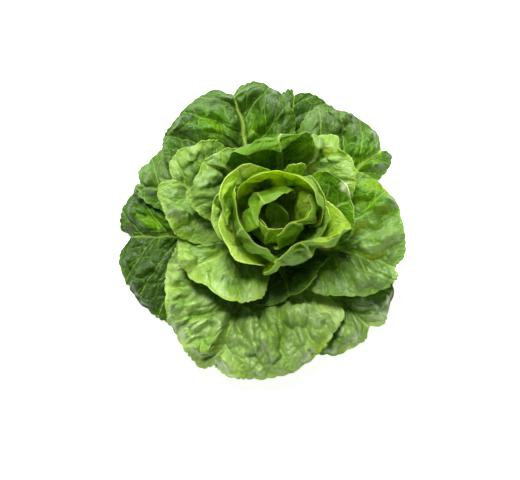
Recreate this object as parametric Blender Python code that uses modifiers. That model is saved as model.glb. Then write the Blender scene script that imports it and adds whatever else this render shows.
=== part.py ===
"""Head of lettuce: twenty-eight leaves packed round a short cut core, standing on the cut face.

The leaves lie on one family of bowl curves. A curve's layer runs from 0, at the heart, to 1, at the
lowest leaves, and each leaf is laid flat, wrapped onto its bowl and then kept outside the leaves that
it encloses. World frame: metres, +Z up, origin in the middle of the core's cut face.
"""

import math
from collections import namedtuple

import bmesh
import bpy
import numpy as np

MM = 0.001

# The core: a solid of revolution with a flat cut face below and a rounded growing tip above.
CORE_RADIUS = 20 * MM
CORE_HEIGHT = 54 * MM
CORE_FULLNESS = 2.2
CORE_SHOULDER = 0.6
CORE_EDGE = 1.5 * MM
CORE_SIDES = 32
CORE_RINGS = 14

# Leaf sections.
BLADE_THICKNESS = 1.0 * MM
HEART_RIB = 1.6 * MM
OUTER_RIB = 4.2 * MM
RIB_WIDTH = 6.0 * MM
HEART_FOOT = 7.0 * MM
OUTER_FOOT = 13.0 * MM
LEAF_CLEARANCE = 1.3 * MM
CORE_CLEARANCE = 0.4 * MM
FLOOR_CLEARANCE = 1.2 * MM

# The bowl curves, by layer: attachment height as a share of the core's, then the slope in degrees
# at the foot, at mid length and at CURVE_LENGTH.
CURVE_LENGTH = 112 * MM
BOWL_LAYERS = (0.00, 0.22, 0.45, 0.70, 0.86, 1.00)
BOWL_FEET = (0.944, 0.815, 0.630, 0.426, 0.269, 0.139)
BOWL_SLOPES = (
    (84, 88, 92),
    (62, 84, 92),
    (45, 60, 62),
    (32, 34, 16),
    (24, 12, -5),
    (12, -1, -14),
)

# One grid for every leaf: cells across the blade and cells along it.
CELLS_ACROSS = 8
CELLS_ALONG = 7
CROWDING = 1.2
FINE = 4
SETTLING_ROUNDS = 3

# The stacking map: the layer reached so far, by azimuth and by distance along the bowl.
MAP_TURNS = 180
MAP_STEPS = 64
MAP_LENGTH = 160 * MM

HEART_GREEN = (0.42, 0.56, 0.10)
MIDDLE_GREEN = (0.20, 0.38, 0.05)
OUTER_GREEN = (0.09, 0.22, 0.03)
CORE_CREAM = (0.72, 0.74, 0.48)

# The size of every leaf against its measures in the table below.
LEAF_SCALE = 1.0

# Every leaf: layer, azimuth in degrees, then in millimetres its length, its half widths left and
# right of the midrib as seen from outside, the distance from foot to widest place and the notch
# at its tip. Curl is the angle, in degrees, that the top of the leaf bends over the heart (negative:
# outwards), and crease is how far below the tip that bend starts. Tilt is how far the left margin
# lies outside the right one, and ruffle is the wave of the margin, both in millimetres.
Leaf = namedtuple(
    "Leaf",
    "name layer azimuth length left right widest notch curl crease tilt ruffle",
)
LEAVES = (
    Leaf("heart_leaf_01", 0.03, 60, 56, 12, 12, 36, 0, 20, 16, 0, 0.4),
    Leaf("heart_leaf_02", 0.06, 215, 62, 16, 16, 38, 0, 40, 20, 0, 0.4),
    Leaf("heart_leaf_03", 0.15, 250, 76, 34, 30, 46, 1, 80, 30, 0, 0.5),
    Leaf("heart_leaf_04", 0.18, 130, 88, 38, 36, 50, 1, 95, 38, 0, 0.5),
    Leaf("heart_leaf_05", 0.19, 340, 87, 36, 30, 50, 1, 90, 36, 0, 0.5),
    Leaf("heart_leaf_06", 0.24, 62, 92, 50, 46, 55, 2, 50, 22, 0, 0.8),
    Leaf("heart_leaf_07", 0.27, 208, 90, 40, 44, 54, 2, 90, 30, 0, 0.8),
    Leaf("heart_leaf_08", 0.28, 130, 90, 44, 24, 58, 2, -20, 26, 0, 1.0),
    Leaf("heart_leaf_09", 0.30, 10, 78, 32, 27, 50, 2, 12, 20, 0, 1.0),
    Leaf("heart_leaf_10", 0.31, 66, 80, 10, 9, 48, 0, -10, 20, 0, 0.6),
    Leaf("heart_leaf_11", 0.33, 213, 74, 30, 30, 50, 2, -10, 25, 0, 1.0),
    Leaf("heart_leaf_12", 0.37, 313, 98, 50, 40, 50, 2, 85, 52, 0, 1.0),
    Leaf("middle_leaf_01", 0.38, 165, 70, 30, 30, 48, 2, 0, 20, 0, 1.2),
    Leaf("middle_leaf_02", 0.45, 12, 84, 34, 34, 55, 3, -10, 20, 0, 1.2),
    Leaf("middle_leaf_03", 0.47, 84, 114, 46, 26, 60, 0, 145, 40, -16, 0.8),
    Leaf("middle_leaf_04", 0.54, 140, 82, 36, 34, 54, 3, -15, 30, 0, 1.6),
    Leaf("middle_leaf_05", 0.56, 50, 90, 30, 38, 60, 3, -15, 30, 0, 1.6),
    Leaf("middle_leaf_06", 0.66, 156, 97, 44, 49, 62, 7, -20, 40, 0, 1.8),
    Leaf("middle_leaf_07", 0.67, 209, 76, 55, 44, 42, 3, -10, 30, -10, 1.6),
    Leaf("middle_leaf_08", 0.70, 282, 53, 44, 34, 34, 2, 30, 20, -12, 3.0),
    Leaf("middle_leaf_09", 0.73, 341, 105, 71, 42, 38, 8, -25, 50, 0, 2.0),
    Leaf("outer_leaf_01", 0.82, 106, 118, 73, 46, 77, 8, -15, 50, 0, 2.4),
    Leaf("outer_leaf_02", 0.85, 247, 117, 87, 73, 29, 8, -15, 50, 0, 2.4),
    Leaf("outer_leaf_03", 0.88, 37, 108, 66, 20, 80, 6, -10, 50, 0, 2.4),
    Leaf("outer_leaf_04", 0.91, 159, 112, 18, 46, 72, 5, -10, 50, 0, 2.2),
    Leaf("outer_leaf_05", 0.94, 81, 112, 22, 46, 76, 4, 0, 40, 0, 2.2),
    Leaf("outer_leaf_06", 0.96, 315, 106, 50, 52, 68, 8, 0, 40, 0, 2.2),
    Leaf("outer_leaf_07", 1.00, 181, 118, 78, 58, 62, 10, 0, 40, 0, 2.2),
)


def full_size(leaf):
    """The leaf with its measures in metres."""
    measures = ("length", "left", "right", "widest", "notch", "crease", "tilt", "ruffle")
    return leaf._replace(**{name: getattr(leaf, name) * MM * LEAF_SCALE for name in measures})


def core_radius(height):
    """Radius of the core at a height above its cut face."""
    share = np.clip(height / CORE_HEIGHT, 0, 1)
    return CORE_RADIUS * (1 - share**CORE_FULLNESS) ** CORE_SHOULDER


def bowl_tables():
    """Radius and height of the bowl curves, on a grid of layer by distance from the foot."""
    layers = np.linspace(-0.1, 1.2, 131)
    steps = np.linspace(0, MAP_LENGTH, 161)
    share = steps / CURVE_LENGTH
    slopes = [smooth_through(BOWL_LAYERS, column, layers) for column in zip(*BOWL_SLOPES)]
    foot, middle, tip = (np.radians(slope)[:, None] for slope in slopes)
    angle = foot * (1 - share) ** 2 + 2 * middle * share * (1 - share) + tip * share**2
    beyond = share > 1
    angle = np.where(beyond, tip + 0 * angle, angle)
    height = smooth_through(BOWL_LAYERS, BOWL_FEET, layers) * CORE_HEIGHT
    step = steps[1]
    middle_angle = (angle[:, 1:] + angle[:, :-1]) / 2
    run = np.cumsum(np.cos(middle_angle), axis=1) * step
    rise = np.cumsum(np.sin(middle_angle), axis=1) * step
    zero = np.zeros((len(layers), 1))
    radius = core_radius(height)[:, None] + CORE_CLEARANCE + np.hstack([zero, run])
    return layers, steps, radius, height[:, None] + np.hstack([zero, rise])


def smooth_through(places, values, at):
    """Monotone cubic through a few values, straight beyond both ends."""
    places = np.asarray(places, float)
    values = np.asarray(values, float)
    slope = np.diff(values) / np.diff(places)
    bend = np.concatenate([slope[:1], (slope[1:] + slope[:-1]) / 2, slope[-1:]])
    cell = np.clip(np.searchsorted(places, at) - 1, 0, len(slope) - 1)
    width = places[cell + 1] - places[cell]
    share = (at - places[cell]) / width
    inside = np.clip(share, 0, 1)
    start = values[cell] + bend[cell] * width * inside
    rest = values[cell + 1] - values[cell] - bend[cell] * width
    turn = (bend[cell + 1] - bend[cell]) * width
    curve = start + (3 * rest - turn) * inside**2 + (turn - 2 * rest) * inside**3
    outside = (share - inside) * width
    return curve + outside * np.where(share > 1, bend[-1], bend[0])


def look_up(table, row, column):
    """Bilinear reading of a table at fractional rows and columns."""
    row = np.clip(row, 0, table.shape[0] - 1.001)
    column = np.clip(column, 0, table.shape[1] - 1.001)
    i = row.astype(int)
    j = column.astype(int)
    down = row - i
    along = column - j
    upper = table[i, j] * (1 - along) + table[i, j + 1] * along
    lower = table[i + 1, j] * (1 - along) + table[i + 1, j + 1] * along
    return upper * (1 - down) + lower * down


class Bowl:
    """The family of bowl curves, read at any layer and distance from the foot."""

    def __init__(self):
        self.layers, self.steps, self.radius, self.height = bowl_tables()
        across = np.gradient(self.radius, self.layers, axis=0)
        down = np.gradient(self.height, self.layers, axis=0)
        run = np.gradient(self.radius, self.steps, axis=1)
        rise = np.gradient(self.height, self.steps, axis=1)
        self.spacing = np.abs(across * rise - down * run)

    def read(self, table, layer, step):
        row = (layer - self.layers[0]) / (self.layers[1] - self.layers[0])
        return look_up(table, row, step / self.steps[1])

    def place(self, layer, step):
        return self.read(self.radius, layer, step), self.read(self.height, layer, step)

    def layers_per_metre(self, layer, step):
        return 1 / np.maximum(self.read(self.spacing, layer, step), 8 * MM)


def spread(cells):
    """Places across the blade from -1 to 1, closer together near the midrib."""
    even = np.linspace(-1, 1, cells + 1)
    return np.sign(even) * np.abs(even) ** CROWDING


def blade(leaf, cells_across, cells_along):
    """The leaf laid flat: offsets from the midrib and distances from the foot."""
    across = spread(cells_across)[None, :]
    along = np.linspace(0, 1, cells_along + 1)[:, None]
    length = leaf.length
    widest = leaf.widest
    share = widest / length
    wide = np.where(across > 0, leaf.left, leaf.right)
    upper = np.clip((along - share) / (1 - share), 0, 1)
    lower = np.clip(along / share, 0, 1)
    taper = np.sin(lower * math.pi / 2) ** 1.15
    foot = HEART_FOOT + (OUTER_FOOT - HEART_FOOT) * leaf.layer
    half = foot + (np.maximum(wide, foot) - foot) * taper
    offset = half * across * np.sqrt(1 - 0.5 * upper**2)
    distance = widest * lower + (length - widest) * upper * np.sqrt(1 - 0.5 * across**2)
    wave = 0.012 * np.sin(5 * across + leaf.azimuth) * upper
    cut = leaf.notch * np.exp(-((across / 0.16) ** 2)) * upper**3
    return offset * (1 + wave), distance * (1 + wave) - cut


def wrap(bowl, leaf, layer, offset, distance):
    """Azimuth and distance along the bowl of points of the flat leaf."""
    slope = bowl.read(bowl.height, layer, leaf.widest) - bowl.read(bowl.height, layer, 0)
    run = bowl.read(bowl.radius, layer, leaf.widest) - bowl.read(bowl.radius, layer, 0)
    cosine = np.clip(run / np.hypot(run, slope), 0.08, 1)
    apex = bowl.read(bowl.radius, layer, 0) / cosine
    reach = np.hypot(offset, distance + apex)
    turn = np.arctan2(offset, distance + apex)
    step = np.maximum(reach - apex, 0)
    radius = np.maximum(bowl.read(bowl.radius, layer, step), 2 * MM)
    return math.radians(leaf.azimuth) + turn * reach / radius, step


def rib_height(leaf):
    """How far the midrib stands out behind the blade at the leaf's foot."""
    return HEART_RIB + (OUTER_RIB - HEART_RIB) * leaf.layer


def thickness(leaf, offset, share):
    """Leaf section: a thin blade on a rib that runs out towards the tip."""
    rib = rib_height(leaf) * np.exp(-((offset / RIB_WIDTH) ** 2)) * (1 - share) ** 1.5
    return BLADE_THICKNESS + rib


def curled(leaf, distance):
    """Distance along the bowl, and lean towards the heart, of a leaf whose top bends over."""
    along = np.linspace(0, 1.1 * leaf.length, 221)
    share = np.clip((along - leaf.length + leaf.crease) / leaf.crease, 0, 1)
    angle = math.radians(leaf.curl) * share * share * (3 - 2 * share)
    step = np.cumsum(np.cos(angle)) * along[1] - along[1]
    lean = np.cumsum(np.sin(angle)) * along[1]
    return np.interp(distance, along, step), np.interp(distance, along, lean)


def wanted_layer(leaf, bowl, distance, lean, across, along):
    """The layer that each point would take with nothing in its way."""
    lean = leaf.tilt * across - lean
    wave = np.sin(across * 7 + leaf.azimuth) * np.sin(along * 5 + leaf.layer * 40)
    margin = np.maximum(np.abs(across), along) ** 3
    lean = lean + leaf.ruffle * wave * margin
    step = np.maximum(distance, 0)
    flat = np.full_like(distance, leaf.layer)
    return leaf.layer + lean * bowl.layers_per_metre(flat, step)


class Stack:
    """What the leaves so far reach to, so that the next one stays outside them."""

    def __init__(self):
        self.reached = np.full((MAP_TURNS, MAP_STEPS), -1.0)

    def cells(self, azimuth, step):
        turn = np.floor(azimuth / (2 * math.pi) * MAP_TURNS).astype(int) % MAP_TURNS
        place = np.clip((step / MAP_LENGTH * MAP_STEPS).astype(int), 0, MAP_STEPS - 1)
        return turn, place

    def needed(self, azimuth, step):
        widened = self.reached
        for shift, axis in ((1, 0), (-1, 0), (1, 1), (-1, 1)):
            moved = np.roll(self.reached, shift, axis)
            if axis == 1:
                moved[:, 0 if shift == 1 else -1] = -1
            widened = np.maximum(widened, moved)
        return widened[self.cells(azimuth, step)]

    def add(self, azimuth, step, layer):
        np.maximum.at(self.reached, self.cells(azimuth, step), layer)


def soften(field):
    """One pass of averaging over the grid, with its margin kept."""
    wide = np.pad(field, 1, mode="edge")
    near = wide[:-2, 1:-1] + wide[2:, 1:-1] + wide[1:-1, :-2] + wide[1:-1, 2:]
    return (near + 2 * field) / 6


def refined(corners):
    """The grid of cell corners, filled in between to the fine grid."""
    rows = np.linspace(0, corners.shape[0] - 1, (corners.shape[0] - 1) * FINE + 1)
    columns = np.linspace(0, corners.shape[1] - 1, (corners.shape[1] - 1) * FINE + 1)
    return look_up(corners, rows[:, None] + 0 * columns, columns[None, :] + 0 * rows[:, None])


def most_nearby(field):
    """At each cell corner, the greatest value of the fine grid within one cell."""
    wide = np.pad(field, FINE, mode="edge")
    rows = range(0, field.shape[0], FINE)
    columns = range(0, field.shape[1], FINE)
    reach = 2 * FINE + 1
    return np.array([[wide[i : i + reach, j : j + reach].max() for j in columns] for i in rows])


def settle(leaf, bowl, stack):
    """The leaf's layer, azimuth and bowl distance at each point, clear of the leaves inside it."""
    fine_across = CELLS_ACROSS * FINE
    fine_along = CELLS_ALONG * FINE
    offset, distance = blade(leaf, fine_across, fine_along)
    across = spread(fine_across)[None, :]
    along = np.linspace(0, 1, fine_along + 1)[:, None]
    distance, lean = curled(leaf, distance)
    corners = wanted_layer(leaf, bowl, distance, lean, across, along)[::FINE, ::FINE]
    for _ in range(SETTLING_ROUNDS):
        layer = refined(corners)
        azimuth, step = wrap(bowl, leaf, layer, offset, distance)
        gap = LEAF_CLEARANCE * bowl.layers_per_metre(layer, step)
        lack = np.maximum(stack.needed(azimuth, step) + gap - layer, 0)
        corners = corners + most_nearby(lack)
        corners = np.maximum(corners, soften(corners))
    layer = refined(corners)
    azimuth, step = wrap(bowl, leaf, layer, offset, distance)
    back = thickness(leaf, offset, along) * bowl.layers_per_metre(layer, step)
    stack.add(azimuth, step, layer + back)
    return layer, azimuth, step, offset, along + 0 * offset


def leaf_points(bowl, layer, azimuth, step):
    """World positions of the leaf's inner face, clear of the core and of the floor."""
    radius, height = bowl.place(layer, step)
    height = np.maximum(height, FLOOR_CLEARANCE + BLADE_THICKNESS)
    radius = np.maximum(radius, core_radius(height) + CORE_CLEARANCE)
    return np.stack([radius * np.cos(azimuth), radius * np.sin(azimuth), height], axis=-1)


def make_leaf(leaf, bowl, stack, home, material):
    """An open sheet on the bowl, given its thickness towards the outside by Solidify."""
    layer, azimuth, step, offset, along = settle(leaf, bowl, stack)
    points = leaf_points(bowl, layer, azimuth, step)[::FINE, ::FINE]
    thick = thickness(leaf, offset, along)[::FINE, ::FINE]
    thick = np.minimum(thick, points[..., 2] - FLOOR_CLEARANCE)
    mesh = bpy.data.meshes.new(leaf.name)
    shape = bmesh.new()
    bmesh.ops.create_grid(shape, x_segments=CELLS_ACROSS, y_segments=CELLS_ALONG, size=1)
    shape.verts.ensure_lookup_table()
    order = sorted(range(len(shape.verts)), key=lambda i: grid_key(shape.verts[i]))
    for place, index in enumerate(order):
        row, column = divmod(place, CELLS_ACROSS + 1)
        shape.verts[index].co = points[row, column]
    shape.to_mesh(mesh)
    shape.free()
    mesh.shade_smooth()
    mesh.materials.append(material)
    part = bpy.data.objects.new(leaf.name, mesh)
    home.objects.link(part)
    give_thickness(part, order, thick, BLADE_THICKNESS + rib_height(leaf))
    return part


def grid_key(vert):
    return (round(vert.co.y, 4), round(vert.co.x, 4))


def give_thickness(part, order, thick, full):
    """Solidify towards the outside, with each point's share of the full thickness as its weight."""
    group = part.vertex_groups.new(name="thickness")
    for place, index in enumerate(order):
        row, column = divmod(place, CELLS_ACROSS + 1)
        group.add([index], float(thick[row, column] / full), "REPLACE")
    split = part.modifiers.new("split", "TRIANGULATE")
    split.quad_method = "FIXED"
    wall = part.modifiers.new("wall", "SOLIDIFY")
    wall.thickness = full
    wall.offset = 1
    wall.vertex_group = group.name


def make_core(home, material):
    """The core, turned from its half profile; the bottom edge is eased."""
    heights = [CORE_HEIGHT * math.sin(math.pi / 2 * i / CORE_RINGS) for i in range(1, CORE_RINGS)]
    heights = [height for height in heights if height > CORE_EDGE]
    outline = [(0, 0, CORE_HEIGHT)]
    outline += [(float(core_radius(height)), 0, height) for height in reversed(heights)]
    outline += [(float(core_radius(CORE_EDGE)), 0, CORE_EDGE), (CORE_RADIUS - CORE_EDGE, 0, 0)]
    outline += [(0, 0, 0)]
    mesh = bpy.data.meshes.new("core")
    mesh.from_pydata(outline, [(i, i + 1) for i in range(len(outline) - 1)], [])
    mesh.materials.append(material)
    part = bpy.data.objects.new("core", mesh)
    home.objects.link(part)
    turn = part.modifiers.new("turn", "SCREW")
    turn.steps = CORE_SIDES
    turn.render_steps = CORE_SIDES
    turn.use_merge_vertices = True
    turn.merge_threshold = 0.00001
    turn.use_smooth_shade = True
    return part


def finish(name, colour, roughness):
    material = bpy.data.materials.new(name)
    material.use_nodes = True
    shader = material.node_tree.nodes["Principled BSDF"]
    shader.inputs["Base Color"].default_value = (*colour, 1)
    shader.inputs["Roughness"].default_value = roughness
    shader.inputs["Metallic"].default_value = 0
    return material


def main():
    for old in list(bpy.data.objects):
        bpy.data.objects.remove(old, do_unlink=True)
    home = bpy.data.collections.new("head_of_lettuce")
    bpy.context.scene.collection.children.link(home)
    greens = {
        "heart": finish("heart_leaf", HEART_GREEN, 0.45),
        "middle": finish("middle_leaf", MIDDLE_GREEN, 0.4),
        "outer": finish("outer_leaf", OUTER_GREEN, 0.4),
    }
    make_core(home, finish("core", CORE_CREAM, 0.6))
    bowl = Bowl()
    stack = Stack()
    for row in LEAVES:
        leaf = full_size(row)
        make_leaf(leaf, bowl, stack, home, greens[leaf.name.split("_")[0]])


main()
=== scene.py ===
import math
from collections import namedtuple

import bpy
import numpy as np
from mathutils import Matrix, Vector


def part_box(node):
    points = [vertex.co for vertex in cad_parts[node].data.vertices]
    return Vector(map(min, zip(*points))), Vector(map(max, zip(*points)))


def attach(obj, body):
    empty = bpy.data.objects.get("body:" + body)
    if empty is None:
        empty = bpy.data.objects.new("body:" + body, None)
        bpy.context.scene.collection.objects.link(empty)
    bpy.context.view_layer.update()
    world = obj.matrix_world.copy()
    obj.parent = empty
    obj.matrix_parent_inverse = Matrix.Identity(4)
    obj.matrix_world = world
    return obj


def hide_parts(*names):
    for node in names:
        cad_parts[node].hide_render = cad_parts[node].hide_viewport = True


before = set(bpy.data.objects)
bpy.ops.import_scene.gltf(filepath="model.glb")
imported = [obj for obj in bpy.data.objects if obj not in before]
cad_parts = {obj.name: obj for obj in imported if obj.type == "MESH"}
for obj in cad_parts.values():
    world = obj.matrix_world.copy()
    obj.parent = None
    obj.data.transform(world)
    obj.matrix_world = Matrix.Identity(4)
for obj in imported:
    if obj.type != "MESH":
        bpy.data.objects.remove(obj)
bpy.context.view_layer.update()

# Head of lettuce: blistered leaves with branching veins, round a cut stem.
#
# The leaves lie on one family of bowl curves. A curve's layer runs from 0, at the heart, to 1, at the
# lowest leaves. Each leaf is laid flat, wrapped onto its bowl and kept outside the leaves it encloses,
# on a coarse grid first and then on a fine one. Its blisters and puffs rise into the room above it.

MM = 0.001

# The stem: its size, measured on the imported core, then its profile and its grid.
STEM_LOW, STEM_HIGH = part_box("core")
STEM_RADIUS = (STEM_HIGH.x - STEM_LOW.x) / 2
STEM_HEIGHT = STEM_HIGH.z
STEM_FULLNESS = 2.2
STEM_SHOULDER = 0.6
STEM_CUT_EDGE = 0.8 * MM
STEM_RINGS = 60
STEM_SIDES = 120

# Leaf sections.
BLADE_THICKNESS = 1.0 * MM
FINE_BLADE = 0.55 * MM
HEART_RIB = 1.6 * MM
OUTER_RIB = 4.2 * MM
RIB_WIDTH = 6.0 * MM
HEART_FOOT = 7.0 * MM
OUTER_FOOT = 13.0 * MM

# Clearances, how deep the leaf feet sink into the stem and over what length, and the room above a
# leaf that has nothing inside it.
LEAF_CLEARANCE = 1.3 * MM
FINE_CLEARANCE = 0.5 * MM
STEM_CLEARANCE = 0.4 * MM
FLOOR_CLEARANCE = 1.2 * MM
FOOT_SINK = 2.2 * MM
FOOT_SINK_LENGTH = 4 * MM
WIDE_ROOM = 60 * MM

# The bowl curves, by layer: attachment height as a share of the stem's, then the slope in degrees
# at the foot, at mid length and at CURVE_LENGTH.
CURVE_LENGTH = 112 * MM
BOWL_LAYERS = (0.00, 0.22, 0.45, 0.70, 0.86, 1.00)
BOWL_FEET = (0.944, 0.815, 0.630, 0.426, 0.269, 0.139)
BOWL_SLOPES = (
    (84, 88, 92),
    (62, 84, 92),
    (45, 60, 62),
    (32, 34, 16),
    (24, 12, -5),
    (12, -1, -14),
)

# The coarse grid that settles a leaf, and the spacing of the fine one.
CELLS_ACROSS = 8
CELLS_ALONG = 7
CROWDING = 1.2
FINE = 4
SETTLING_ROUNDS = 3
SKIN_SPACING = 1.0 * MM

# The stacking maps: the layer reached so far, by azimuth and by distance along the bowl.
COARSE_MAP = (180, 64)
FINE_MAP = (360, 128)
MAP_LENGTH = 160 * MM

# Venation: side veins along the midrib, the two nets between them, and how far they all wander.
SIDE_VEIN_SPACING = 24 * MM
NET_CELL = 14 * MM
FINE_NET_CELL = 5.0 * MM
VEIN_WANDER = 7 * MM
VEIN_WANDER_SIZE = 16 * MM

# The scalloped margin: spacing, depth on the lowest leaf, and the share of that depth at the heart.
SCALLOP = 7.5 * MM
SCALLOP_DEPTH = 1.5 * MM
HEART_SCALLOPS = 0.25

# The relief: what multiplies the blister heights, the share of the blisters left at the rim, the slow
# sway of the loose parts of the leaves, and the lowest height that they may reach. Puffs, and the vault
# between midrib and margin, rise by these shares of the blisters.
RELIEF = {
    "Blister Scale": 2.0,
    "Rim Share": 0.12,
    "Sway": 9 * MM,
    "Sway Size": 26 * MM,
    "Floor": FLOOR_CLEARANCE,
}
PUFF_RISE = 1.6
VAULT_RISE = 0.3

# How far the outline of a puff wanders, in slow waves and in quick ones, in millimetres.
SLOW_WANDER = 2.0
QUICK_WANDER = 0.7

# The studio: lengths in metres, the elevation in degrees, lamp power in watts and the sensor in
# millimetres. The floor reaches FLOOR_SIZE each way.
FLOOR_SIZE = 4.0
FLOOR_GLOW = 0.9
DAYLIGHT = 0.06
CAMERA_ELEVATION = 81
CAMERA_DISTANCE = 1.15
CAMERA_AIM = (-0.011, -0.0113, 0.05)
VIEW_WIDTH = 0.442
SENSOR_WIDTH = 36
Softbox = namedtuple("Softbox", "name place size power")
SOFTBOX_AIM = (0, 0, 0.05)
SOFTBOXES = (
    Softbox("softbox_above", (-0.2, 0.7, 2.15), 0.5, 56),
    Softbox("softbox_behind", (-0.3, 1.7, 1.6), 0.7, 50),
)

# Every leaf: layer, azimuth in degrees, then in millimetres its length, its half widths left and
# right of the midrib as seen from outside, the distance from foot to widest place and the notch
# at its tip. Curl is the angle, in degrees, that the top of the leaf bends over the heart (negative:
# outwards), and crease is how far below the tip that bend starts. Tilt is how far the left margin
# leans outwards and the right one inwards, and ruffle is the wave of the margin, in millimetres.
Leaf = namedtuple(
    "Leaf",
    "name layer azimuth length left right widest notch curl crease tilt ruffle",
)
LEAVES = (
    Leaf("heart_leaf_01", 0.03, 60, 56, 12, 12, 36, 0, 20, 16, 0, 0.4),
    Leaf("heart_leaf_02", 0.06, 215, 62, 16, 16, 38, 0, 40, 20, 0, 0.4),
    Leaf("heart_leaf_03", 0.15, 250, 76, 34, 30, 46, 1, 80, 30, 0, 0.5),
    Leaf("heart_leaf_04", 0.18, 130, 88, 38, 36, 50, 1, 95, 38, 0, 0.5),
    Leaf("heart_leaf_05", 0.19, 340, 87, 36, 30, 50, 1, 90, 36, 0, 0.5),
    Leaf("heart_leaf_06", 0.24, 62, 92, 50, 46, 55, 2, 50, 22, 0, 0.8),
    Leaf("heart_leaf_07", 0.27, 208, 90, 40, 44, 54, 2, 90, 30, 0, 0.8),
    Leaf("heart_leaf_08", 0.28, 130, 90, 44, 24, 58, 2, -20, 26, 0, 1.0),
    Leaf("heart_leaf_09", 0.30, 10, 78, 32, 27, 50, 2, 12, 20, 0, 1.0),
    Leaf("heart_leaf_10", 0.31, 66, 80, 10, 9, 48, 0, -10, 20, 0, 0.6),
    Leaf("heart_leaf_11", 0.33, 213, 74, 30, 30, 50, 2, -10, 25, 0, 1.0),
    Leaf("heart_leaf_12", 0.37, 313, 98, 50, 40, 50, 2, 85, 52, 0, 1.0),
    Leaf("middle_leaf_01", 0.38, 165, 70, 30, 30, 48, 2, 0, 20, 0, 1.2),
    Leaf("middle_leaf_02", 0.45, 12, 84, 34, 34, 55, 3, -10, 20, 0, 1.2),
    Leaf("middle_leaf_03", 0.47, 84, 114, 46, 26, 60, 0, 145, 40, -16, 0.8),
    Leaf("middle_leaf_04", 0.54, 140, 82, 36, 34, 54, 3, -15, 30, 0, 1.6),
    Leaf("middle_leaf_05", 0.56, 50, 90, 30, 38, 60, 3, -15, 30, 0, 1.6),
    Leaf("middle_leaf_06", 0.66, 156, 97, 44, 49, 62, 7, -20, 40, 0, 1.8),
    Leaf("middle_leaf_07", 0.67, 209, 76, 55, 44, 42, 3, -10, 30, -10, 1.6),
    Leaf("middle_leaf_08", 0.70, 282, 53, 44, 34, 34, 2, 30, 20, -12, 3.0),
    Leaf("middle_leaf_09", 0.73, 341, 105, 71, 42, 38, 8, -25, 50, 0, 2.0),
    Leaf("outer_leaf_01", 0.82, 106, 118, 73, 46, 77, 8, -15, 50, 0, 2.4),
    Leaf("outer_leaf_02", 0.85, 247, 117, 87, 73, 29, 8, -15, 50, 0, 2.4),
    Leaf("outer_leaf_03", 0.88, 37, 108, 66, 20, 80, 6, -10, 50, 0, 2.4),
    Leaf("outer_leaf_04", 0.91, 159, 112, 18, 46, 72, 5, -10, 50, 0, 2.2),
    Leaf("outer_leaf_05", 0.94, 81, 112, 22, 46, 76, 4, 0, 40, 0, 2.2),
    Leaf("outer_leaf_06", 0.96, 315, 106, 50, 52, 68, 8, 0, 40, 0, 2.2),
    Leaf("outer_leaf_07", 1.00, 181, 118, 78, 58, 62, 10, 0, 40, 0, 2.2),
)

# The finish of each leaf: how deep its green is, partly its own tone and partly painted shade on leaves
# that face away from the light and painted light on heart leaves that the light shines through; how
# much pale waxy bloom and painted sheen lies on it; and the height of its blisters in millimetres.
Look = namedtuple("Look", "depth bloom blister")
LOOKS = {
    "heart_leaf_01": Look(0.20, 0.10, 0.9),
    "heart_leaf_02": Look(0.20, 0.10, 0.9),
    "heart_leaf_03": Look(0.20, 0.10, 1.5),
    "heart_leaf_04": Look(0.30, 0.30, 2.0),
    "heart_leaf_05": Look(0.30, 0.20, 2.4),
    "heart_leaf_06": Look(0.05, 0.10, 1.2),
    "heart_leaf_07": Look(0.25, 0.20, 2.0),
    "heart_leaf_08": Look(0.36, 0.60, 4.2),
    "heart_leaf_09": Look(0.55, 0.40, 4.4),
    "heart_leaf_10": Look(0.40, 0.20, 1.4),
    "heart_leaf_11": Look(0.15, 1.00, 4.6),
    "heart_leaf_12": Look(0.30, 0.30, 4.0),
    "middle_leaf_01": Look(0.35, 0.90, 5.0),
    "middle_leaf_02": Look(0.65, 0.00, 3.0),
    "middle_leaf_03": Look(0.50, 0.00, 1.8),
    "middle_leaf_04": Look(0.52, 0.60, 5.6),
    "middle_leaf_05": Look(0.46, 0.50, 5.6),
    "middle_leaf_06": Look(0.50, 0.60, 5.0),
    "middle_leaf_07": Look(0.40, 0.80, 5.2),
    "middle_leaf_08": Look(0.80, 0.10, 3.5),
    "middle_leaf_09": Look(0.68, 0.55, 5.6),
    "outer_leaf_01": Look(0.88, 0.10, 5.8),
    "outer_leaf_02": Look(0.38, 1.00, 7.0),
    "outer_leaf_03": Look(0.86, 0.25, 5.8),
    "outer_leaf_04": Look(0.75, 0.25, 4.6),
    "outer_leaf_05": Look(0.98, 0.00, 4.4),
    "outer_leaf_06": Look(0.45, 1.00, 5.2),
    "outer_leaf_07": Look(1.00, 0.05, 5.6),
}

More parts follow.
